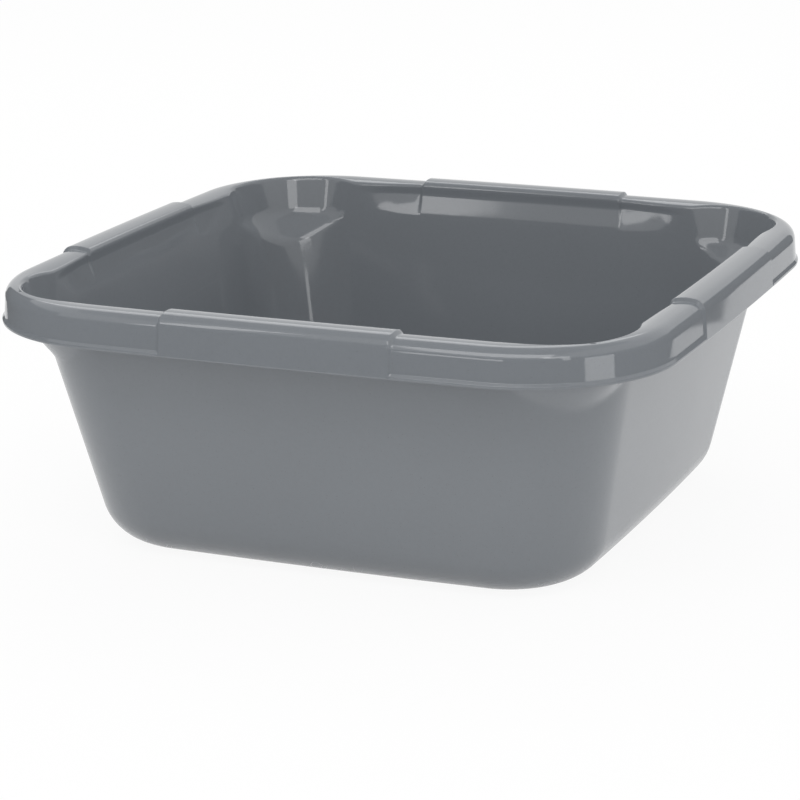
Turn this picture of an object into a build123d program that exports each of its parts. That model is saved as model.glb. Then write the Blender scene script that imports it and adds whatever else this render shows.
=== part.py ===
from build123d import *
import math
import os

os.makedirs("parts", exist_ok=True)

# A square washing up bowl, moulded in one piece from polypropylene. Millimetres, Z up,
# the origin in the middle of the underside. All four sides and all four corners are alike.

# The whole bowl
overall_width = 380.0           # across the lips, at the middle of two opposite sides
rim_height = 148.0              # floor to the highest line of the rim, between the grips
side_bow_share = 0.0210526      # how far a side curves out, for half the width
wall = 2.2                      # thickness of the walls and of the rim

# The walls, outside
mouth_inset = 17.57             # from the lip in to the walls carried up to the rim's height
wall_slope_share = 0.2056       # how much a wall leans outward for its height
mouth_corner_radius = 55.0      # corner of the walls at the height of the rim
corner_taper_share = 0.0034     # how much that radius shrinks for the depth below the rim
bow_taper_share = 0.0068        # how much the curve of the sides shrinks for that depth
base_edge_radius = 28.5         # where the walls turn into the base

# The rolled rim, across its width
lip_corner_radius = 79.5        # the outline of the lip, round a corner
skirt_depth = 20.3              # highest line of the rim down to the lower edge of the lip
skirt_slope_share = 0.08        # how much the skirt leans inward for its height
lip_out = 1.2                   # how far the lip stands out from the skirt
lip_face = 1.6                  # the upright edge of the lip
lip_slope_height = 1.4          # the sloping shoulder above that edge
lip_edge_radius = 0.5           # the rounded edges of the lip
crown_inset = 11.5              # from the edge of the lip to the highest line of the rim
crown_radius = 26.0             # the rounded top of the rim
crown_reach_share = 0.8         # how far inward that roundness is drawn before it is cut
rim_edge_radius = 7.0           # where the top of the rim turns down into the skirt
mouth_edge_radius = 2.2         # where the rim turns down into the bowl

# The four raised grips, one in the middle of each side
grip_length = 128.0             # along the rim
grip_rise = 2.0                 # above the rim beside it
grip_edge_radius = 4.5          # where a grip turns down into the bowl
grip_end_radius = 0.9           # the rounded edges of its two ends

# The pouring pocket in each corner, a cone that stands upright
pocket_inset = 63.3             # from the lip in to its middle, along both sides
pocket_radius = 44.8            # at the height of the rim
pocket_slope_share = 0.29       # how much the pocket narrows for its depth
pocket_depth = 21.5             # down to its sloping foot
pocket_foot_height = 15.0       # height of that sloping foot
pocket_foot_run = 12.0          # how far the foot comes in over that height
pocket_knee_radius = 12.0       # where the pocket turns into its foot
pocket_crease_radius = 5.0      # where a pocket meets the walls

# The shallow scoop in the wall, beside each end of a grip
scoop_top_depth = 6.5           # below the rim, where its slope begins
scoop_depth = 18.0              # below the rim, where its slope meets the wall
scoop_cut = 2.4                 # how far it goes into the wall, next to the grip
scoop_length_share = 0.8        # how much of the way from the grip to the pocket it takes up
scoop_hold_share = 0.45         # the share of that length that keeps the full depth
scoop_hold_cut = 1.3            # how far it goes into the wall at the end of that share
scoop_end_depth = 9.5           # where the slope meets the wall at the far end
scoop_end_rise = 0.5            # how far it has left the wall there

# The underside
foot_width = 5.0                # the flat edge that the bowl stands on
foot_recess = 0.8               # how far the base inside that edge stands clear
gate_radius = 4.0               # the round mark left in the middle by the moulding
gate_height = 0.4

# Worked out from those; the walls and pockets hang from the rim, so a higher bowl keeps them
half = overall_width/2
side_bow = side_bow_share*half
mouth_half = half - mouth_inset
pocket_centre = half - pocket_inset
lip_bottom = rim_height - skirt_depth
lip_shoulder = lip_bottom + lip_face
skirt_bottom = lip_shoulder + lip_slope_height
grip_out = lip_out - skirt_slope_share*(skirt_bottom - lip_bottom)
side_radius = ((half - side_bow)**2 + side_bow**2)/(2*side_bow)
ring_depth = crown_inset + crown_reach_share*crown_radius
wall_skin = wall*math.sqrt(1 + wall_slope_share**2)
pocket_off_side = mouth_half - wall_skin - pocket_centre
pocket_span = math.sqrt(max(pocket_radius**2 - pocket_off_side**2, 0))
scoop_length = scoop_length_share*(pocket_centre - pocket_span - grip_length/2)
floor_level = foot_recess + wall
spare = wall                    # room that a cutting shape has past a surface
open_top = rim_height + grip_rise + spare
near = wall/100                 # how closely an edge must lie on a surface to be picked


def outline(half_width, radius, bow):
    """A square with rounded corners, whose sides curve outward by bow."""
    reach = half_width - bow
    corners = [(reach, -reach), (reach, reach), (-reach, reach), (-reach, -reach)]
    middles = [(half_width, 0), (0, half_width), (-half_width, 0), (0, -half_width)]
    sides = [ThreePointArc(corners[i], middles[i], corners[(i + 1) % 4]) for i in range(4)]
    face = make_face(sides)
    return fillet(face.vertices(), radius)


def wall_sizes(z, inset):
    """Half width, corner radius and bow of the walls at height z, smaller by inset."""
    depth = rim_height - z
    width = mouth_half - wall_slope_share*depth - inset
    radius = mouth_corner_radius - corner_taper_share*depth - inset
    return width, radius, side_bow - bow_taper_share*depth


def walls(inset, low, edge_radius):
    """The tapered body from height low up, smaller by inset all round, its base rounded.

    Above the rounding it is a loft. The rounding is an arc carried round the outline that the
    walls have where the arc ends, with a core inside it."""
    def level(z):
        return Pos(0, 0, z)*outline(*wall_sizes(z, inset))
    lean = math.atan(wall_slope_share)
    turn_height = low + edge_radius*(1 - math.sin(lean))
    drawn_in = edge_radius*math.cos(lean)
    body = loft([level(turn_height), level(open_top)], ruled=True)
    middle = (math.pi/2 - lean)/2
    middle_x = edge_radius*math.sin(middle) - drawn_in
    middle_z = low + edge_radius*(1 - math.cos(middle))
    arc = ThreePointArc((0, turn_height), (middle_x, middle_z), (-drawn_in, low))
    inner_x = -drawn_in - spare
    lines = Polyline((-drawn_in, low), (inner_x, low), (inner_x, turn_height), (0, turn_height))
    section = make_face([arc] + lines.edges())
    width, radius, bow = wall_sizes(turn_height, inset)
    skirt = along(outline(width, radius, bow).face().outer_wire(), section)
    core_inset = drawn_in + spare/2
    core = Pos(0, 0, low)*extrude(outline(width - core_inset, radius - core_inset, bow),
                                  turn_height - low)
    return body + skirt + core


def pocket(grow):
    """The pocket of one corner as a solid, larger by grow all round."""
    knee = rim_height - pocket_depth - grow
    toe = knee - pocket_foot_height
    top_r = pocket_radius + pocket_slope_share*(open_top - rim_height) + grow
    knee_r = pocket_radius - pocket_slope_share*pocket_depth + grow
    toe_r = knee_r - pocket_foot_run
    side = Polyline((0, toe), (toe_r, toe), (knee_r, knee), (top_r, open_top), (0, open_top),
                    close=True)
    half_section = make_face(side)
    turn = half_section.vertices().sort_by_distance(Vertex(knee_r, knee, 0))[0]
    half_section = fillet(turn, pocket_knee_radius + grow)
    cone = revolve(Plane.XZ*half_section, Axis.Z)
    return Pos(pocket_centre, pocket_centre, 0)*cone


def pocket_creases(body, grow):
    """The edges where the pockets meet the walls."""
    toe = rim_height - pocket_depth - pocket_foot_height - grow
    inner_r = pocket_radius - pocket_slope_share*pocket_depth - pocket_foot_run
    found = []
    for edge in body.edges():
        ends = [edge @ 0, edge @ 0.5, edge @ 1]
        heights = [p.Z for p in ends]
        radii = [math.hypot(abs(p.X) - pocket_centre, abs(p.Y) - pocket_centre) for p in ends]
        level = max(heights) - min(heights) < near
        beside = min(radii) > inner_r and max(radii) - min(radii) < pocket_foot_run
        if min(heights) > toe - near and beside and not level:
            found.append(edge)
    return found


def scoop(grow, start):
    """The scoop in the wall at +Y beside the +X end of the grip there, from start on."""
    def section(past_grip, cut, depth):
        x = grip_length/2 + past_grip
        drop = side_radius - math.sqrt(side_radius**2 - x**2)
        def wall_y(below):
            return mouth_half - wall_slope_share*below - wall_skin - drop
        back = wall_y(depth) - 2*wall
        low = rim_height - depth
        bend = rim_height - scoop_top_depth
        top_y = wall_y(scoop_top_depth) + cut + grow
        points = [(x, back, low), (x, wall_y(depth) + grow, low), (x, top_y, bend),
                  (x, top_y, open_top), (x, back, open_top)]
        return make_face(Polyline(points, close=True))
    hold = scoop_length*scoop_hold_share
    start_cut = scoop_cut + (scoop_cut - scoop_hold_cut)*(-start/hold)
    return loft([section(start, start_cut, scoop_depth),
                 section(hold, scoop_hold_cut, scoop_depth),
                 section(scoop_length, -scoop_end_rise, scoop_end_depth)], ruled=True)


def four(shape):
    """The shape and its three copies, a quarter turn apart."""
    return [Rot(0, 0, 90*i)*shape for i in range(4)]


def scoops(grow, start):
    one = scoop(grow, start)
    return four(one) + four(mirror(one, about=Plane.YZ))


def rim_section(rise, out, skin, low):
    """The filled cross-section of the rim, the outside of the bowl at +X, height along Y.

    rise lifts it and out pushes the skirt outward, for a grip; skin takes it in by that
    thickness, for the hollow underneath; low is the height that it reaches down to."""
    foot_x = out - lip_out - skin
    top_z = rim_height + rise - skin
    radius = crown_radius - skin
    centre_z = top_z - radius
    def crown_at(x):
        return centre_z + math.sqrt(radius**2 - (x + crown_inset)**2)
    top_x = foot_x - skirt_slope_share*(top_z - skirt_bottom)
    low_x = foot_x + skirt_slope_share*(skirt_bottom - low)
    crown = ThreePointArc((top_x, crown_at(top_x)), (-crown_inset, top_z),
                          (-ring_depth, crown_at(-ring_depth)))
    points = [(-ring_depth, crown_at(-ring_depth)), (-ring_depth, low)]
    with_lip = skin == 0 and out == 0
    if with_lip:
        points += [(0, low), (0, lip_shoulder), (foot_x, skirt_bottom)]
    else:
        points += [(low_x, low)]
    points += [(top_x, crown_at(top_x))]
    face = make_face([crown] + Polyline(points).edges())
    def corner(x, z):
        return face.vertices().sort_by_distance(Vertex(x, z, 0))[0]
    face = fillet(corner(top_x, crown_at(top_x)), rim_edge_radius - skin)
    if with_lip:
        face = fillet(corner(0, low), lip_edge_radius)
        face = fillet(corner(0, lip_shoulder), lip_edge_radius)
    return face


def along(path, section):
    """The section carried along the path, upright, its outside away from the middle."""
    start = path @ 0
    ahead = path % 0
    outward = Vector(ahead.Y, -ahead.X, 0)
    if outward.dot(start) < 0:
        outward = -outward
    plane = Plane(origin=start, x_dir=outward, z_dir=outward.cross(Vector(0, 0, 1)))
    return sweep(plane*section, path=path)


def grip_path(length):
    """The stretch of the lip's outline that a grip takes up, on the side at -Y."""
    x = length/2
    y = side_radius - half - math.sqrt(side_radius**2 - x**2)
    return Wire([ThreePointArc((-x, y), (0, -half), (x, y))])


def bowl_space():
    """The space inside the bowl, without and with the scoops."""
    plain = walls(wall_skin, floor_level, base_edge_radius - wall)
    plain = plain + four(pocket(0))
    plain = fillet(pocket_creases(plain, 0), pocket_crease_radius)
    return plain, plain + scoops(0, -scoop_length/4)


def bowl_outside():
    """The outside of the walls, as a solid."""
    body = walls(0, 0, base_edge_radius)
    body = body + four(pocket(wall))
    body = fillet(pocket_creases(body, wall), pocket_crease_radius - wall/2)
    body = body + scoops(wall, 0)
    flat = base_edge_radius*(math.sqrt(1 + wall_slope_share**2) - wall_slope_share)
    recess = extrude(outline(*wall_sizes(0, flat + foot_width)), foot_recess)
    body = body - recess
    gate = Pos(0, 0, foot_recess - gate_height)*extrude(Circle(gate_radius), gate_height + spare)
    return body + gate


def mouth_edges(solid, space, low, high):
    """The edges between the top of the rim and the space inside, between two heights."""
    found = []
    for edge in solid.edges():
        points = [edge @ share for share in (0.02, 0.5, 0.98)]
        if not all(low < p.Z < high for p in points):
            continue
        if all(space.distance_to(Vertex(*p)) < near for p in points):
            found.append(edge)
    return found


def grip_block():
    """One grip at -Y as a filled block, its edges rounded."""
    block = along(grip_path(grip_length), rim_section(grip_rise, grip_out, 0, lip_bottom))
    block = block - plain_space
    mouth = mouth_edges(block, plain_space, rim_height - 2*wall, open_top)
    block = fillet(mouth, grip_edge_radius)
    ends = []
    for edge in block.edges():
        points = [edge @ 0, edge @ 1]
        at_end = all(abs(abs(p.X) - grip_length/2) < near for p in points)
        upright = edge.geom_type == GeomType.LINE and abs((edge % 0).Z) > abs((edge % 0).Y)
        outer = all(p.Y < -half + crown_inset for p in points)
        if at_end and upright and outer:
            ends.append(edge)
    return fillet(ends, grip_end_radius)


plain_space, space = bowl_space()
outside = bowl_outside()
lip = outline(half, lip_corner_radius, side_bow).face().outer_wire()

# The rim, filled, with its mouth rounded and the grips on it
ring = along(lip, rim_section(0, 0, 0, lip_bottom)) - space
ring = fillet(mouth_edges(ring, space, rim_height - 2*wall, rim_height + near), mouth_edge_radius)
rim = ring + four(grip_block())

# The channel under it, open below, where the fingers go
hollow_low = lip_bottom - spare
hollow = along(lip, rim_section(0, 0, wall, hollow_low))
grip_hollow = along(grip_path(grip_length - 2*wall),
                    rim_section(grip_rise, grip_out, wall, hollow_low))
channel = hollow + four(grip_hollow) - outside
rim = rim - channel

# The walls and the base, up into the rim
join_height = lip_bottom + wall
below = Pos(0, 0, (join_height - spare)/2)*Box(overall_width, overall_width, join_height + spare)
bowl = rim + ((outside & below) - space)
bowl.label = "bowl"

export_step(bowl, "parts/bowl.step")
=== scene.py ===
# %% [markdown]
# # A washing up bowl, moulded in one piece
#
# The real bowl is one shot of polypropylene: a square tapered tub whose wall turns over at the
# top into a hollow rolled rim. Nothing is fixed to it, so the scene has one piece. The whole
# look comes from two things: how the skin curves, and how a smooth grey plastic mirrors the
# lamps of a studio. The CAD frame gives the size and the place of everything below.

# %% Load the frame
import math

import bpy
import numpy as np
from mathutils import Matrix, Vector


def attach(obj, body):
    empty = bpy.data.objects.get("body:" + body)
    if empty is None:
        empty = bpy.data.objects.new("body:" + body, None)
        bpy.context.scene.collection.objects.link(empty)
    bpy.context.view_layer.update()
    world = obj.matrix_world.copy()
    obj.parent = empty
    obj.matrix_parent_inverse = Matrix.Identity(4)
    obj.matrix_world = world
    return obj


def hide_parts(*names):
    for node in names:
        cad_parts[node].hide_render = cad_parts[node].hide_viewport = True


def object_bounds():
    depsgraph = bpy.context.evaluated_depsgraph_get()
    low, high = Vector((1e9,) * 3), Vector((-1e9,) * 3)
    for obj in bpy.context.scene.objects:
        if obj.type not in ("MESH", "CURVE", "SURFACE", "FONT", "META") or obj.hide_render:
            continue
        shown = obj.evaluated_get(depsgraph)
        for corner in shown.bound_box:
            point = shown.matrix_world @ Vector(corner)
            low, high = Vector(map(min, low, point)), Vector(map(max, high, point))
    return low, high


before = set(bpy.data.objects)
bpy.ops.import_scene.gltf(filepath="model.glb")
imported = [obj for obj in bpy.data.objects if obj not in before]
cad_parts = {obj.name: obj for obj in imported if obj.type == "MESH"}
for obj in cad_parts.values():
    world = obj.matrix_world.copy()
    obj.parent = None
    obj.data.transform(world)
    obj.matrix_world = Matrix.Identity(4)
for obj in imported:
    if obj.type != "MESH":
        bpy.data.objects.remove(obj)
cad_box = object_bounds()
print("the CAD bowl lies between", [[round(v, 4) for v in corner] for corner in cad_box])

# %% [markdown]
# ## The sizes of the bowl
#
# The sizes are the ones that the CAD model was drawn with, in millimetres, because a mould
# maker thinks in millimetres. They turn into metres only when the mesh is made. Rounded squares
# do most of the work: the lip, the mouth and the walls at every height are each one of them.

# %% Sizes
MM = 0.001                      # one millimetre, in Blender's metres
rim_height = 148.0              # floor to the highest line of the rim, between the grips
wall = 2.2                      # thickness of the skin

lip_half, lip_radius = 190.0, 79.5          # the lip, seen from above: half width and corner
lip_bow = 4.0                               # how far its sides curve outward
lip_bottom, lip_shoulder = 127.7, 129.3      # heights of its lower and its upper edge
skirt_foot, skirt_slope = 130.7, 0.08       # where the skirt starts, and how it leans in
lip_out = 1.2                               # how far the lip stands out from the skirt
lip_edge, lip_inner_edge = 0.5, 0.3         # radii of the lip's edges
rim_edge = 7.0                              # radius of the rim's outer shoulder
hollow_edge = 0.8                           # radius where the wall meets the roof of the hollow
mouth_edge, mouth_edge_more = 2.2, 1.5      # radius of the mouth's edge, and what a grip adds
crown_inset, crown_radius = 11.5, 26.0      # the arc's top, in from the lip, and its radius

base_half, wall_slope = 142.0, 0.2056       # the walls carried down to the floor
base_corner, mouth_corner = 54.5, 55.0      # corner radius at the floor and at the rim
base_bow = 3.0                              # how far the sides of the base curve outward
base_edge = 28.5                            # radius between the base and the wall
foot_width, foot_recess, foot_bevel = 5.0, 0.8, 0.2     # the ring that it stands on
gate_radius, gate_height, gate_bevel = 4.0, 0.4, 0.2    # the round mark left by the moulding
gate_root, gate_root_run = 0.05, 0.15                   # the smaller bevel at its root

grip_half, grip_rise, grip_step = 64.0, 2.0, 2.4        # half length, height, end step
grip_out = lip_out - skirt_slope*(skirt_foot - lip_bottom)

pocket_centre, pocket_radius = 126.7, 44.8  # its x and y, and its radius at the rim
pocket_depth, pocket_slope = 21.5, 0.29     # the cone down to its foot, and how it narrows
pocket_foot_height, pocket_foot_run = 15.0, 12.0        # the foot below it is less steep

scoop_top, scoop_depth = 6.5, 18.0          # its deepest line and its lower edge, below the rim
band_cut, scoop_cut, scoop_hold_cut = 1.1, 2.4, 1.3     # how deep they cut into the wall
scoop_hold, scoop_end, scoop_fade = 83.0, 110.0, 18.0   # along a side, from its middle


def side_radius(half, bow):
    """Radius of the arc that spans a side: half chord squared plus bow squared, over 2 bow."""
    return ((half - bow)**2 + bow**2)/(2*bow)


lip_side = side_radius(lip_half, lip_bow)
wall_skin = wall*math.sqrt(1 + wall_slope**2)
print(f"a side of the lip is an arc of radius {lip_side:.0f} mm")
print(f"sloped by {wall_slope}, a wall of {wall} mm is {wall_skin:.2f} mm wide on plan")

# %% [markdown]
# ## Columns: where the mesh has its upright lines
#
# The surface is a grid. Its columns run round the bowl, and its rows run along the skin, from
# the middle of the underside, up the outside, through the rim and down to the middle of the
# floor. All four sides are alike and each mirrors itself, so one eighth is enough: from the
# middle of a side to the diagonal of a corner. Columns crowd together where a grip ends,
# because the skin steps up there by 2 mm within a few millimetres.

# %% Columns of one eighth
def corner_centre(half, radius, side):
    """Middle of the corner arc of radius that touches two side arcs, on the diagonal.

    Its distance from the middle of each side arc is side - radius, which is a quadratic."""
    lack = side - half
    return (np.sqrt(2*(side - radius)**2 - lack**2) - lack)/2


lip_centre = corner_centre(lip_half, lip_radius, lip_side)
lip_turn = math.atan2(lip_centre, lip_centre - lip_half + lip_side)
lip_touch = lip_side*math.sin(lip_turn)     # where the side ends and the corner begins

plain_end = grip_half - grip_step
ring_start = grip_half + grip_step
column_x = np.concatenate([
    np.linspace(0, plain_end, 10, endpoint=False),              # on the grip
    np.linspace(plain_end, ring_start, 20, endpoint=False),     # over the step at its end
    np.linspace(ring_start, lip_touch, 22)])                    # beside it
column_turn = np.linspace(0, 1, 25)[1:]                         # round half of the corner
across = np.concatenate([column_x, np.full(len(column_turn), lip_touch)])[:, None]
turned = np.concatenate([np.zeros(len(column_x)), column_turn])[:, None]
kept = ring_start                           # up to here a column is the same x at every height
print(f"{len(across)} columns for one eighth, the side ends at x = {lip_touch:.1f} mm")


def outline(half, radius, side):
    """Points and outward directions of a rounded square, one for each column.

    On a side the point lies on the arc of radius side, on a corner on the arc of radius. The
    columns keep their x up to the grip's end and are stretched evenly from there to the
    corner."""
    centre = corner_centre(half, radius, side)
    turn = np.arctan2(centre, centre - half + side)
    touch = side*np.sin(turn)
    x = np.where(across < kept, across, kept + (across - kept)*(touch - kept)/(lip_touch - kept))
    angle = np.where(turned > 0, turn + turned*(math.pi/4 - turn), np.arcsin(x/side))
    sine, cosine = np.sin(angle), np.cos(angle)
    on_corner = turned > 0
    px = np.where(on_corner, centre + radius*sine, side*sine)
    py = np.where(on_corner, centre + radius*cosine, half - side + side*cosine)
    return px, py, sine, cosine


# %% [markdown]
# ## The skin of the tub
#
# On its own, the wall would be a plain cone of rounded squares. Three forms are pressed into
# it. Each corner has a pouring pocket, an upright cone that bulges out through the corner and
# ends in a sloping foot. Beside each end of a grip a shallow scoop thins the rim, and a faint
# band of the same height runs behind the grip. All three push the skin outward, so each is
# a distance along the outward direction, and a soft maximum rounds the line where it starts.

# %% Soft maximum and easing
def soft_max(a, b, width):
    """The larger of a and b, rounded off by a parabola where they differ by less than width."""
    near = np.clip(1 - np.abs(a - b)/width, 0, 1)
    return np.maximum(a, b) + near**2*width/4


def soft_min(a, b, width):
    """The smaller of a and b, rounded off in the same way."""
    return -soft_max(-a, -b, width)


def ease(low, high, value):
    """0 below low, 1 above high, and a cubic S-curve between them."""
    share = np.clip((value - low)/(high - low), 0, 1)
    return share**2*(3 - 2*share)


print("where two equal forms meet, a soft maximum 2 mm wide lifts the line by",
      soft_max(0.0, 0.0, 2.0), "mm")

# %% The pocket, the scoop and the band behind the grip
outside_reach = -9.0                        # a push that says: the form is not here
pocket_blend, pocket_edge_blend = 1.6, 1.5  # how softly its foot and its edge are rounded
scoop_blend, scoop_edge_blend = 0.25, 0.3   # how softly its bend and its edge are rounded
scoop_rise, scoop_rest = 0.75, 0.02         # at its end: the rise of its edge, the push left
band_end, scoop_start = grip_half - 0.3, ring_start - 0.5


def pocket_push(px, py, nx, ny, z, grow):
    """How far the pocket pushes a wall point outward.

    The pocket's radius falls with depth along its cone, then faster along its foot. The push
    is the distance along (nx, ny) from the point to that circle, negative where it is inside
    the wall."""
    knee = rim_height - pocket_depth - grow
    knee_radius = pocket_radius - pocket_slope*pocket_depth + grow
    cone = knee_radius + pocket_slope*(z - knee)
    foot = knee_radius + pocket_foot_run/pocket_foot_height*(z - knee)
    radius = soft_min(cone, foot, pocket_blend)
    dx, dy = px - pocket_centre, py - pocket_centre
    toward = dx*nx + dy*ny
    inside = toward**2 - dx**2 - dy**2 + np.maximum(radius, 0)**2
    push = -toward + np.sqrt(np.maximum(inside, 0))
    return np.where((inside > 0) & (radius > 0), push, outside_reach)


def scoop_push(px, z):
    """How far the scoop and the band behind the grip push a wall point outward.

    Upward from its lower edge the push grows evenly to its cut, and above its bend it falls as
    the wall leans out to meet it. Where the scoop runs out, its lower edge rises."""
    cut = np.interp(px, [ring_start, scoop_hold, scoop_end], [scoop_cut, scoop_hold_cut, 0.0])
    cut = band_cut + (cut - band_cut)*ease(band_end, scoop_start, px)
    run_out = ease(scoop_end, scoop_end - scoop_fade, px*np.ones_like(z))
    low = rim_height - scoop_depth + (1 - run_out)*(scoop_depth - scoop_top)*scoop_rise
    bend = rim_height - scoop_top
    rising = cut*(z - low)/(bend - low)
    falling = cut - wall_slope*(z - bend)
    push = soft_max(soft_min(rising, falling, scoop_blend), 0*rising, scoop_edge_blend)
    return push*(scoop_rest + (1 - scoop_rest)*run_out)


print(f"a pocket is {2*pocket_radius:.0f} mm across at the rim,"
      f" a scoop ends {scoop_depth:.0f} mm below it")


# %% The wall at any height
def skin(z, outer):
    """The wall at height z, one point for each column: its outside, or its inside.

    A rounded square whose half width grows with height, pushed outward by scoop and pocket."""
    share = z/rim_height
    inset = 0.0 if outer else wall_skin
    half = base_half + wall_slope*z - inset
    bow = base_bow + (lip_bow - base_bow)*share
    radius = base_corner + (mouth_corner - base_corner)*share - inset
    px, py, nx, ny = outline(half, radius, side_radius(half, bow))
    grow = wall if outer else 0.0
    scooped = scoop_push(px, z*np.ones_like(px))
    push = soft_max(scooped, pocket_push(px, py, nx, ny, z, grow), pocket_edge_blend)
    return px + push*nx, py + push*ny


mouth_y = skin(np.full_like(across, rim_height), False)[1]
print(f"behind a grip the mouth is {2*mouth_y[0, 0]:.0f} mm wide")

# %% [markdown]
# ## The rolled rim
#
# The rim is a shallow arch over a hollow, like an upturned gutter. Its crown is an arc of
# radius 26, its outer shoulder an arc of radius 7 that touches both the crown and the upright
# skirt, and its lower edge a thin lip. A grip is the same section, 2 mm higher and pushed out
# until its skirt is flush with the lip. So one number for each column, 1 on a grip and 0 beside
# it, blends every size of the section from one to the other.

# %% Grips and crown
beyond = np.where(turned > 0, lip_half, across)     # the corners lie beyond every grip
grip = 1 - ease(grip_half - grip_step/2, grip_half + grip_step/2, beyond)


def inset_of(px, py):
    """Distance of a point from the lip's outline, inward."""
    dy = py - lip_half + lip_side
    on_corner = np.arctan2(px, dy) > lip_turn
    from_corner = lip_radius - np.hypot(px - lip_centre, py - lip_centre)
    return np.where(on_corner, from_corner, lip_side - np.hypot(px, dy))


def crown_height(px, py, thickness):
    """Height of the crown above a point: an arc across the rim, thinner by thickness."""
    middle = rim_height + grip_rise*grip - crown_radius
    off = inset_of(px, py) - crown_inset
    return middle + np.sqrt((crown_radius - thickness)**2 - off**2)


def offset_point(offset, z):
    """Points at a distance outside the lip's outline, negative inward, and at height z."""
    px, py, _, _ = outline(lip_half + offset, lip_radius + offset, lip_side + offset)
    return np.stack(np.broadcast_arrays(px, py, z), -1)


print(f"the rim is {2*lip_half:.0f} mm wide, its grips stand {grip_rise:.0f} mm above it")


# %% Skirt and shoulder
def skirt_offset(z, thickness):
    """The skirt leans in from its foot; thickness gives its inner face."""
    return grip_out*grip - lip_out - skirt_slope*(z - skirt_foot) - thickness


def shoulder(thickness, steps):
    """The arc that touches the skirt and the crown, from the skirt up.

    Its middle lies one radius in from the skirt's line, and on the circle round the crown's
    middle whose radius is the difference of the two radii."""
    radius = rim_edge - thickness
    lean = math.atan(skirt_slope)
    start = skirt_offset(skirt_foot, thickness) - radius/math.cos(lean) + skirt_slope*skirt_foot
    crown_z = rim_height + grip_rise*grip - crown_radius
    apart = crown_radius - thickness - radius
    # offset o = start - slope z, and (o + inset)^2 + (z - crown_z)^2 = apart^2
    a = 1 + skirt_slope**2
    b = -2*(skirt_slope*(start + crown_inset) + crown_z)
    c = (start + crown_inset)**2 + crown_z**2 - apart**2
    z = (-b + np.sqrt(b*b - 4*a*c))/(2*a)
    offset = start - skirt_slope*z
    last = np.arctan2(z - crown_z, offset + crown_inset)
    angle = lean + (last - lean)*np.linspace(0, 1, steps)
    return offset + radius*np.cos(angle), z + radius*np.sin(angle)


print(f"the skirt leans in by {skirt_slope} of its height, the shoulder's radius is {rim_edge} mm")


# %% An arc in place of a corner
def rounded(before, corner, after, radius, steps):
    """An arc in place of a corner, from the side of before to the side of after.

    The arc's middle lies on the halving line of the corner, its ends where it touches both
    sides, and its points turn evenly from one end to the other."""
    to_before = before - corner
    to_after = after - corner
    to_before /= np.linalg.norm(to_before, axis=-1, keepdims=True)
    to_after /= np.linalg.norm(to_after, axis=-1, keepdims=True)
    cosine = np.clip((to_before*to_after).sum(-1, keepdims=True), -0.9999, 0.9999)
    opening = np.arccos(cosine)
    touch = radius/np.tan(opening/2)
    halving = to_before + to_after
    halving /= np.linalg.norm(halving, axis=-1, keepdims=True)
    middle = corner + halving*radius/np.sin(opening/2)
    first = (corner + to_before*touch - middle)/radius
    last = (corner + to_after*touch - middle)/radius
    sweep = math.pi - opening
    share = np.linspace(0, 1, steps)[None, :, None]
    arc = np.sin((1 - share)*sweep)*first + np.sin(share*sweep)*last
    return middle + radius*arc/np.sin(sweep)


square = rounded(*np.array([[[[1.0, 0, 0]]], [[[0.0, 0, 0]]], [[[0.0, 1, 0]]]]), 0.5, 3)
print("the middle of an arc of radius 0.5 in a square's corner:", square[0, 1].round(3))

# %% [markdown]
# ## Rows: the skin from underneath to inside
#
# Each step below adds some rows, in the order in which a finger would follow the skin. The
# underside and the floor are flat, so their rows are one outline shrunk toward the middle, and
# the first and the last row are single points. The outside of the wall is followed up into the
# hollow of the rim, where nobody looks but where the fingers go.

# %% The arc between base and wall
def level(px, py, z):
    """One or more rows of points from their x, y and z."""
    return np.stack(np.broadcast_arrays(px, py, z), -1)


def base_rounding(outer, steps):
    """Rows of the arc that turns the wall into the base, from the base up.

    The arc is carried round the outline that the wall has where the arc ends, so each row is
    that outline drawn in by lack = radius (cos lean - sin angle)."""
    radius = base_edge if outer else base_edge - wall
    low = 0.0 if outer else foot_recess + wall
    inset = 0.0 if outer else wall_skin
    lean = math.atan(wall_slope)
    angle = (math.pi/2 - lean)*np.linspace(0, 1, steps)[None, :]
    z = low + radius*(1 - np.cos(angle))
    lack = radius*(math.cos(lean) - np.sin(angle))
    top = low + radius*(1 - math.sin(lean))
    half = base_half + wall_slope*top - inset
    corner = base_corner + (mouth_corner - base_corner)*top/rim_height - inset
    side = side_radius(half, base_bow + (lip_bow - base_bow)*top/rim_height)
    px, py, _, _ = outline(half - lack, corner - lack, side - lack)
    return level(px, py, z)


outer_base = base_rounding(True, 12)
wall_start = outer_base[0, -1, 2]
print(f"the arc of radius {base_edge} mm meets the outside of the wall at z = {wall_start:.1f} mm")

# %% Rows of the underside and the outside
rows = []
foot = outer_base[:, :1]
flat_half = foot[0, 0, 1]
inner_foot = foot*(1 - foot_width/flat_half)
around = foot[..., :2]/np.linalg.norm(foot[..., :2], axis=-1, keepdims=True)
gate_z = foot_recess - gate_height


def disc(radius, z):
    """One row as a circle round the middle, for the mark that the moulding leaves."""
    return level(around[..., 0]*radius, around[..., 1]*radius, z)


rows += [level(0*across, 0*across, gate_z), disc(gate_radius - gate_bevel, gate_z),
         disc(gate_radius, gate_z + gate_bevel), disc(gate_radius, foot_recess - gate_root),
         disc(gate_radius + gate_root_run, foot_recess)]
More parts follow.
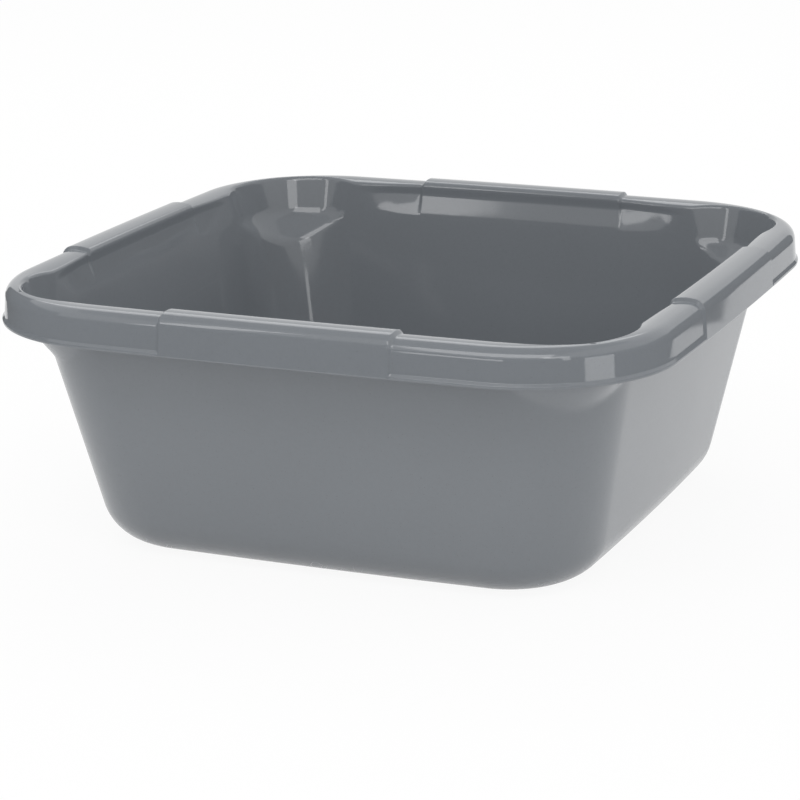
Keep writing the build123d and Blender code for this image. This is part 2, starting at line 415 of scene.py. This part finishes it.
# each pair is a share of the foot's inner outline, and a height
across_recess = [(0.3, foot_recess), (0.6, foot_recess), (0.9, foot_recess), (0.994, foot_recess)]
over_foot = [(1.0, foot_recess - foot_bevel), (1.002, foot_bevel), (1.004, 0.0)]
for share, z in across_recess + over_foot:
    rows.append(level(inner_foot[..., 0]*share, inner_foot[..., 1]*share, z))
rows.append(outer_base)

plain_top, outer_top = 104, 142             # few rows on the plain wall, many above it
outer_z = np.concatenate([
    np.linspace(wall_start, plain_top, 7)[1:], np.linspace(plain_top, outer_top, 21)[1:]])
px, py = skin(outer_z[None, :], True)
rows.append(level(px, py, outer_z[None, :]))
print(f"the bowl stands on a ring {foot_width:.0f} mm wide and {2*flat_half:.0f} mm across")


# %% Rows of the hollow
def skin_top(outer, thickness):
    """Where the wall meets the crown: each round takes the crown's height above the wall."""
    z = np.full_like(across, rim_height - 2.0)      # a first guess
    for _ in range(6):
        px, py = skin(z, outer)
        z = crown_height(px, py, thickness)
    return level(px, py, z)


def crown_rows(first, last, thickness, steps):
    """Rows across the crown from one row of points to another, along straight lines on plan."""
    share = np.linspace(0, 1, steps)[None, :, None]
    flat = first[..., :2] + (last[..., :2] - first[..., :2])*share
    px, py = flat[..., 0], flat[..., 1]
    return level(px, py, crown_height(px, py, thickness))


hollow_top = skin_top(True, wall)
under_shoulder = offset_point(*shoulder(wall, 6))
under_crown = crown_rows(hollow_top, under_shoulder[:, -1:], wall, 7)
below_z = hollow_top[..., 2] - 3            # any height below the edge gives its direction
below_top = level(*skin(below_z, True), below_z)
rows.append(rounded(below_top, hollow_top, under_crown[:, 2:3], hollow_edge, 4))
rows.append(under_crown[:, 2:-1])
rows.append(under_shoulder[:, ::-1])
print(f"the hollow is up to {(under_crown[..., 2] - lip_bottom).max():.1f} mm high")

# %% Rows of the lip, the skirt and the shoulder
foot_inside = offset_point(skirt_offset(lip_bottom, wall), lip_bottom)
shin = offset_point(skirt_offset(skirt_foot, wall), skirt_foot)
lip_low = offset_point(0.0, lip_bottom)
lip_high = offset_point(skirt_offset(lip_shoulder, 0.0)*grip, lip_shoulder)
skirt_low = offset_point(skirt_offset(skirt_foot, 0.0), skirt_foot)
top_shoulder = offset_point(*shoulder(0.0, 9))
skirt_high = top_shoulder[:, :1]
rows.append(shin)
rows.append(rounded(shin, foot_inside, lip_low, lip_inner_edge, 3))
rows.append(rounded(foot_inside, lip_low, lip_high, lip_edge, 5))
rows.append(rounded(lip_low, lip_high, skirt_low, lip_edge, 4))
rows.append(rounded(lip_high, skirt_low, skirt_high, lip_edge, 4))
rows.append(skirt_low + (skirt_high - skirt_low)*np.array([0.15, 0.5, 0.9])[None, :, None])
rows.append(top_shoulder)
print("from under the lip to the shoulder's top the rim is"
      f" {(top_shoulder[..., 2] - lip_bottom).max():.1f} mm high")

# %% Rows of the crown and the mouth's edge
mouth = skin_top(False, 0.0)
sharp_crown = crown_rows(top_shoulder[:, -1:], mouth, 0.0, 11)
mouth_radius = mouth_edge + mouth_edge_more*grip[..., None]
below_z = mouth[..., 2] - 2
below_mouth = level(*skin(below_z, False), below_z)
mouth_arc = rounded(sharp_crown[:, -2:-1], mouth, below_mouth, mouth_radius, 8)
crown = crown_rows(top_shoulder[:, -1:], mouth_arc[:, :1], 0.0, 10)
rows.append(crown[:, 1:-1])
rows.append(mouth_arc)
inset = inset_of(mouth[..., 0], mouth[..., 1])
print(f"the mouth's edge lies {inset.min():.1f} to {inset.max():.1f} mm in from the lip")

# %% Rows of the inside
scoop_bend = rim_height - scoop_top
bend_rows = np.array([0.4, 0.0, -0.4, -0.9])        # heights above and below the bend
share = np.linspace(0, 1, 5)[None, 1:-1]
mouth_end = mouth_arc[:, -1, 2:3]
upper_z = mouth_end + (scoop_bend + bend_rows[0] - mouth_end)*share
rows.append(level(*skin(upper_z, False), upper_z))
inner_base = base_rounding(False, 11)[:, ::-1]
plain_top = 108                             # a little higher than on the outside
inner_z = np.concatenate([
    scoop_bend + bend_rows,
    np.linspace(140.3, 131.2, 7),                                   # down the scoop
    np.linspace(130.5, plain_top, 21),                              # over its edge, down the pocket
    np.linspace(plain_top, inner_base[0, 0, 2], 7)[1:-1]])          # down the plain wall
rows.append(level(*skin(inner_z[None, :], False), inner_z[None, :]))
rows.append(inner_base)
edge = inner_base[:, -1:]
for share in (0.97, 0.8, 0.5, 0.2):
    rows.append(level(edge[..., 0]*share, edge[..., 1]*share, edge[..., 2]))
rows.append(level(0*across, 0*across, edge[..., 2]))
eighth = np.concatenate(rows, 1)
print(f"{eighth.shape[0]} columns and {eighth.shape[1]} rows make one eighth of the bowl")

# %% [markdown]
# ## Eight times round
#
# A mirror across the diagonal makes a quarter of the eighth, and three turns make the rest.
# The grid is closed round the bowl and by a single point at each pole, so the mesh has no open
# edge. The signed volume tells which way the faces point: it is positive when they point out.
# The packed model's crown is made of flats, so its top lies 0.02 mm below the true arc, and
# the whole skin is lowered by that share to stay inside the model's box.

# %% The whole grid
mirrored = eighth[::-1][1:][..., [1, 0, 2]]
quarter = np.concatenate([eighth, mirrored])[:-1]
quarters = [quarter]
for _ in range(3):
    last = quarters[-1]
    quarters.append(np.stack([last[..., 1], -last[..., 0], last[..., 2]], -1))
grid = np.concatenate(quarters)
count, depth = grid.shape[0], grid.shape[1]

top_clearance = 0.002                       # how far below the box's top it ends
lowered = min((cad_box[1][2]/MM - top_clearance)/grid[..., 2].max(), 1)
grid[..., 2] *= lowered
print(f"a closed grid of {count} by {depth} points, heights times {lowered:.5f}")

# %% Points and faces
body = grid[:, 1:-1].reshape(-1, 3)
points = np.concatenate([body, grid[:1, 0], grid[:1, -1]])
index = np.arange(count*(depth - 2)).reshape(count, depth - 2)
ahead = np.roll(index, -1, axis=0)
quads = np.stack([index[:, :-1], index[:, 1:], ahead[:, 1:], ahead[:, :-1]], -1).reshape(-1, 4)
pole_low, pole_high = len(body), len(body) + 1
caps_low = np.stack([np.full(count, pole_low), index[:, 0], ahead[:, 0]], -1)
caps_high = np.stack([np.full(count, pole_high), ahead[:, -1], index[:, -1]], -1)


def volume(points, quads):
    """Sum of the signed volumes between the origin and each face, as two triangles each."""
    a, b, c, d = (points[quads[:, i]] for i in range(4))
    return ((np.cross(b, c)*a).sum() + (np.cross(c, d)*a).sum())/6


filled = volume(points, quads)
if filled < 0:
    quads, caps_low, caps_high = quads[:, ::-1], caps_low[:, ::-1], caps_high[:, ::-1]
mesh = bpy.data.meshes.new("bowl_skin")
mesh.from_pydata((points*MM).tolist(), [], quads.tolist() + caps_low.tolist() + caps_high.tolist())
mesh.polygons.foreach_set("use_smooth", np.ones(len(mesh.polygons), bool))
mesh.update()

# %% The piece
bowl = bpy.data.objects.new("bowl_body", mesh)
bpy.context.scene.collection.objects.link(bowl)
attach(bowl, "root")
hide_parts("bowl")
print(f"{len(points)} points, {2*len(quads) + 2*count} triangles,"
      f" {abs(filled)/1000:.0f} cm3 of plastic")

# %% [markdown]
# ## The camera
#
# The camera stands where the photographer's did: in front of the bowl and a little to its
# right, 1.6 m away, looking down by 15 degrees through a long lens. Both the angle and the
# lens come from matching the rim's outline, so the shift is only what the framing needs.

# %% Camera
yaw, pitch, roll = (math.radians(angle) for angle in (22.491, 15.414, -0.628))
distance, focal_pixels, photo_width = 1.6237, 2872.4, 800
target = Vector((0, 0, 0.0738))
back = Vector((math.sin(yaw)*math.cos(pitch), -math.cos(yaw)*math.cos(pitch), math.sin(pitch)))
level_right = Vector((math.cos(yaw), math.sin(yaw), 0))
level_up = back.cross(level_right)
right = math.cos(roll)*level_right + math.sin(roll)*level_up
up = -math.sin(roll)*level_right + math.cos(roll)*level_up
lens = bpy.data.cameras.new("camera")
lens.sensor_width = 36
lens.lens = focal_pixels/photo_width*lens.sensor_width
lens.shift_x, lens.shift_y = -0.01914, -0.0279
lens.clip_end = 50
camera = bpy.data.objects.new("camera", lens)
camera.matrix_world = Matrix.Translation(target + back*distance) @ Matrix(
    (right, up, back)).transposed().to_4x4()
bpy.context.scene.collection.objects.link(camera)
bpy.context.scene.camera = camera
print("the camera stands at", [round(v, 3) for v in camera.location])

# %% [markdown]
# ## Shader maths as Python
#
# A node tree is easier to read as an expression. The small class below wraps a socket, so that
# `mask*0.6 + 0.12` adds the Math nodes it needs. Every other node comes from one method, which
# sets the node's settings first and then its sockets.

# %% A socket that can be used in expressions
class Wire:
    """A socket of a node tree; arithmetic on it adds Math nodes to that tree."""

    def __init__(self, tree, socket):
        self.tree, self.socket = tree, socket

    def node(self, kind, settings, values, out=0):
        """Add a node: its settings first, then a value or a wire for each named socket."""
        made = self.tree.nodes.new(kind)
        for name, setting in settings.items():
            setattr(made, name, setting)
        for name, value in values.items():
            if isinstance(value, Wire):
                self.tree.links.new(value.socket, made.inputs[name])
            else:
                made.inputs[name].default_value = value
        return Wire(self.tree, made.outputs[out]) if len(made.outputs) else None

    def math(self, operation, *values):
        """Add a Math node for the values."""
        return self.node("ShaderNodeMath", {"operation": operation}, dict(enumerate(values)))

    def __add__(self, other):
        return self.math("ADD", self, other)

    def __sub__(self, other):
        return self.math("SUBTRACT", self, other)

    def __mul__(self, other):
        return self.math("MULTIPLY", self, other)

    def __abs__(self):
        return self.math("ABSOLUTE", self)

    def spread(self, low, high, to_low=0.0, to_high=1.0):
        """The value carried from low..high to to_low..to_high, and held at both ends."""
        return self.node("ShaderNodeMapRange", {"clamp": True}, {
            "Value": self, "From Min": low, "From Max": high, "To Min": to_low, "To Max": to_high})


print("a wire understands", [name for name, value in vars(Wire).items() if callable(value)])


# %% A new material
def new_material(name):
    """A material with an empty tree, and a wire in it to start from: the object's coordinates."""
    material = bpy.data.materials.new(name)
    material.use_nodes = True
    material.node_tree.nodes.clear()
    start = Wire(material.node_tree, None)
    return material, start.node("ShaderNodeTexCoord", {}, {}, "Object")


# %% [markdown]
# ## Grey polypropylene
#
# The bowl's plastic is a cool mid grey from a polished mould. Four things keep it from looking
# like a computer's grey. The pigment is never quite even, with a dark speck here and there. The
# skin has long, very shallow waves, because the thick and the thin places shrink differently,
# so mirrored lamps have edges that are not quite straight. Use leaves hair-fine scuffs, most of
# them on the floor of the bowl and under the foot, where the gloss is lost. And the outside of
# the tub and the underside have a fine spark-eroded grain, which makes them duller. Their
# colour is also made a little paler, which is a painted glow from the white floor they face.

# %% Noises of the plastic
plastic, place = new_material("grey_polypropylene")


def noise(scale, detail=2.0, roughness=0.5, at=place):
    """A soft noise of the object's coordinates; scale is its number of lumps to the metre."""
    return at.node("ShaderNodeTexNoise", {}, {
        "Vector": at, "Scale": scale, "Detail": detail, "Roughness": roughness}, "Fac")


def hairlines(scale, turn, width):
    """Thin lines in one direction: a noise stretched along it, where it crosses its middle."""
    stretched = place.node("ShaderNodeMapping", {}, {
        "Vector": place, "Rotation": turn, "Scale": (1.0, 0.02, 1.0)})
    lines = noise(scale, 1.0, 0.5, stretched)
    return abs(lines - 0.5).spread(0.0, width, 1.0, 0.0)


# %% Masks: where the plastic is grained and painted paler by the floor, scuffed or specked
height = place.node("ShaderNodeSeparateXYZ", {}, {"Vector": place}, "Z")
low_down = height.spread(0.003, 0.012, 1.0, 0.0)            # the bowl's floor and its foot
below_lip = height.spread(0.1262, 0.1270, 1.0, 0.0)
facing = place.node("ShaderNodeTexCoord", {}, {}, "Normal")
facing_up = place.node("ShaderNodeSeparateXYZ", {}, {"Vector": facing}, "Z")
# Faces below the lip that lean down toward the white floor. They get a duller grain, and a painted
# glow of the light that the floor bounces up onto them.
grain_and_painted_bounce = facing_up.spread(-0.12, -0.04, 1.0, 0.0)*below_lip
patches = noise(26.0).spread(0.45, 0.62)
scratches = hairlines(90.0, (0.0, 0.0, 0.6), 0.006) + hairlines(70.0, (0.3, 0.2, 2.2), 0.006)
scuffs = scratches*patches*(low_down*0.6 + 0.12)
specks = noise(2600.0, 0.0).spread(0.80, 0.84)
pigment = (noise(9.0, 3.0)*0.6 + noise(420.0, 2.0)*0.4).spread(0.3, 0.7)
print(f"noises and masks took {len(plastic.node_tree.nodes)} nodes")


# %% Colour
def mixed(share, first, second):
    """The first colour where share is 0, the second where it is 1."""
    return place.node("ShaderNodeMix", {"data_type": "RGBA"}, {
        "Factor": share, 6: first, 7: second}, 2)


colour = mixed(pigment, (0.176, 0.190, 0.206, 1.0), (0.187, 0.202, 0.219, 1.0))
# Painted floor bounce: the faces that lean toward the white floor are made a little paler.
colour = mixed(grain_and_painted_bounce*0.1, colour, (0.30, 0.32, 0.34, 1.0))
colour = mixed(scuffs*0.35, colour, (0.30, 0.31, 0.32, 1.0))
colour = mixed(specks*0.5, colour, (0.05, 0.05, 0.05, 1.0))
print(f"with its colour the tree has {len(plastic.node_tree.nodes)} nodes")

# %% Gloss and relief
polish = 0.045                   # roughness of the polished skin
wave_height, grain_height, scuff_depth = 0.00012, 0.0000018, 0.000006       # in metres
dulled = noise(40.0, 3.0).spread(0.3, 0.8)*0.03 + scuffs*0.25 + low_down*0.06
roughness = dulled + grain_and_painted_bounce*0.14 + polish
waves = noise(14.0, 1.0)*0.9 + noise(55.0, 1.0)*0.12
relief = waves*wave_height + noise(1900.0, 2.0)*grain_height - scuffs*scuff_depth
bump = place.node("ShaderNodeBump", {}, {
    "Strength": 1.0, "Distance": 1.0, "Height": relief}, "Normal")
skin_shader = place.node("ShaderNodeBsdfPrincipled", {}, {
    "Base Color": colour, "Roughness": roughness, "Normal": bump, "IOR": 1.49}, "BSDF")
place.node("ShaderNodeOutputMaterial", {}, {"Surface": skin_shader})
mesh.materials.append(plastic)
print(f"the plastic has {len(plastic.node_tree.nodes)} nodes")

# %% [markdown]
# ## A white table in a pale room
#
# The floor is white paper. A product photographer lets it burn out to pure white, so for the
# camera and for mirror reflections a part of its colour is its own light; the rest is lit as
# paper is, and keeps the soft shadow under the bowl. The room is white to the camera too, and
# a little less bright as a light, so that the plastic keeps its own grey.

# %% Floor
paper_glow = 0.92                # share of its own light, where it is looked at
paper_half = 6.0                 # half of its width, in metres


def ray_kinds(wire):
    """Three masks: 1 for rays from the camera, mirrored rays, and rays through glass."""
    return [wire.node("ShaderNodeLightPath", {}, {}, f"Is {kind} Ray")
            for kind in ("Camera", "Glossy", "Transmission")]


floor_mesh = bpy.data.meshes.new("white_paper")
paper_corners = np.array([(-1, -1, 0), (1, -1, 0), (1, 1, 0), (-1, 1, 0)])*paper_half
floor_mesh.from_pydata(paper_corners.tolist(), [], [(0, 1, 2, 3)])
floor = bpy.data.objects.new("white_paper", floor_mesh)
bpy.context.scene.collection.objects.link(floor)

paper, start = new_material("white_paper")
from_camera, mirrored, through_glass = ray_kinds(start)
looked_at = start.math("MAXIMUM", start.math("MAXIMUM", from_camera, mirrored), through_glass)
lit = start.node("ShaderNodeBsdfDiffuse", {}, {"Color": (0.9, 0.9, 0.9, 1.0)}, "BSDF")
white = start.node("ShaderNodeEmission", {}, {"Color": (1.0, 1.0, 1.0, 1.0), "Strength": 1.0}, 0)
both = start.node("ShaderNodeMixShader", {}, {0: looked_at*paper_glow, 1: lit, 2: white}, 0)
start.node("ShaderNodeOutputMaterial", {}, {"Surface": both})
floor_mesh.materials.append(paper)
print(f"the floor is {2*paper_half:.0f} m wide")

# %% Room
mirrored_share = 0.75            # how much of the extra white a mirrored ray sees
room_light = 0.86                # how bright the room is for what it lights
room = bpy.data.worlds.new("room")
room.use_nodes = True
room.node_tree.nodes.clear()
air = Wire(room.node_tree, None)
from_camera, mirrored, through_glass = ray_kinds(air)
reflected = air.math("MAXIMUM", mirrored, through_glass)*mirrored_share
looked_at = air.math("MAXIMUM", from_camera, reflected)
sky = air.node("ShaderNodeBackground", {}, {
    "Color": (1.0, 1.0, 1.0, 1.0), "Strength": looked_at*(1 - room_light) + room_light}, 0)
air.node("ShaderNodeOutputWorld", {}, {"Surface": sky})
bpy.context.scene.world = room
bpy.context.scene.view_settings.view_transform = "Standard"
print("the view transform is", bpy.context.scene.view_settings.view_transform)

# %% [markdown]
# ## Dark screens
#
# A glossy thing shows what stands round it, and the dark bands on the crown and the skirt in
# the photograph show that the studio was dark where it had no lamps. So dark cloth stands
# round the table on all sides but the back, lies on the ground where the table ends, and hangs
# above it. Only mirrored rays see it. It is hidden from the camera, gives no light to the
# plastic and throws no shadow, so it shapes the reflections and nothing else.

# %% Screens that only a mirror sees
screen_distance = 1.3            # from the middle of the bowl, in metres
ceiling_half, ceiling_height = 1.1, 1.8
cloth_rise = 0.002               # the cloth on the ground lies this much above the paper
screen_turn = np.linspace(145, 435, 59)     # directions in degrees, from the x axis
screen_top = np.interp(                     # how high the cloth stands in each direction
    screen_turn, [145, 215, 220, 406, 407, 435], [0.95, 0.95, 0.55, 0.55, 0.46, 0.46])
table_edge = np.interp(screen_turn, [416, 424], [0.70, 1.10])   # farther at the back right


def ring(radius, z):
    """A point for each direction round the table: radius times its cosine and sine, at z."""
    turn = np.radians(screen_turn)
    return np.stack(np.broadcast_arrays(radius*np.cos(turn), radius*np.sin(turn), z), -1)


ceiling = np.array([(-1, -1), (1, -1), (1, 1), (-1, 1)])*ceiling_half
screen_points = np.concatenate([
    ring(table_edge, cloth_rise), ring(screen_distance, cloth_rise),
    ring(screen_distance, screen_top), np.insert(ceiling, 2, ceiling_height, axis=1)])
steps = len(screen_turn)
first = np.arange(steps - 1)
strip = np.stack([first, first + 1, first + 1 + steps, first + steps], -1)
screen_faces = np.concatenate([strip, strip + steps, [np.arange(4) + 3*steps]])
screen_mesh = bpy.data.meshes.new("dark_screens")
screen_mesh.from_pydata(screen_points.tolist(), [], screen_faces.tolist())
print(f"the screens have {len(screen_faces)} faces")

# %% Cloth of the screens
screens = bpy.data.objects.new("dark_screens", screen_mesh)
bpy.context.scene.collection.objects.link(screens)
screens.visible_camera = screens.visible_diffuse = screens.visible_shadow = False
dark, start = new_material("dark_cloth")
above = start.node("ShaderNodeSeparateXYZ", {}, {"Vector": start}, "Z")
cloth_glow = above.spread(1.2, 1.6, 0.12, 0.5)      # the ceiling catches more light
cloth = start.node("ShaderNodeEmission", {}, {
    "Color": (1.0, 1.0, 1.0, 1.0), "Strength": cloth_glow}, 0)
start.node("ShaderNodeOutputMaterial", {}, {"Surface": cloth})
screen_mesh.materials.append(dark)
print("the camera sees the cloth:", screens.visible_camera)

# %% [markdown]
# ## The lamps
#
# Most lamps can be read off the photograph, because the bowl mirrors them. The right box is
# the bright square on the near corner. The long box and the low box under it are the two
# strips on the front rim. The left box is the pale patches in the scoops of the far side, the
# strip box the streak in the far left pocket, and the narrow slot box the thin line below it.
# These only shine. The overhead box and the side box are big and soft, and only light the
# front and the right wall, and the back box does both from behind.

# %% Soft boxes
aim = Vector((0, 0, 0.12))       # what the lamps face: the bowl's middle, just below its rim


def soft_box(name, place, width, tall, brightness, lights=True, shines=True):
    """An area lamp at a place in metres, turned to face the bowl.

    Without lights, only its mirror image shows, and without shines, only its light.

    Its power in watts is brightness times its area times pi, so that brightness is how white
    it looks in a mirror."""
    lamp = bpy.data.lights.new(name, "AREA")
    lamp.shape, lamp.size, lamp.size_y = "RECTANGLE", width, tall
    lamp.energy = brightness*width*tall*math.pi
    holder = bpy.data.objects.new(name, lamp)
    holder.location = place
    holder.visible_camera = False
    holder.visible_diffuse, holder.visible_glossy = lights, shines
    toward = Vector(place) - aim
    holder.rotation_euler = toward.to_track_quat("Z", "Y").to_euler()
    bpy.context.scene.collection.objects.link(holder)


soft_box("right_box", (1.00, -0.42, 0.15), 0.39, 0.32, 2.8, lights=False)
soft_box("strip_box", (0.90, -1.05, 0.78), 0.46, 0.30, 3.0, lights=False)
soft_box("slot_box", (0.78, -0.76, 0.36), 0.09, 0.26, 3.0, lights=False)
soft_box("left_box", (-0.49, -0.93, 0.66), 0.10, 0.42, 3.3, lights=False)
soft_box("long_box", (0.19, -1.09, 1.04), 1.25, 0.60, 3.3, lights=False)
soft_box("low_box", (-0.09, -1.20, 0.25), 0.42, 0.16, 3.3, lights=False)
soft_box("overhead_box", (0.19, -0.88, 1.15), 1.05, 0.34, 3.3, shines=False)
soft_box("side_box", (1.20, 1.00, 0.42), 1.20, 0.70, 1.0, shines=False)
soft_box("back_box", (-0.60, 1.20, 1.45), 1.40, 0.90, 1.5)
print(len(bpy.data.lights), "lamps")

# %% [markdown]
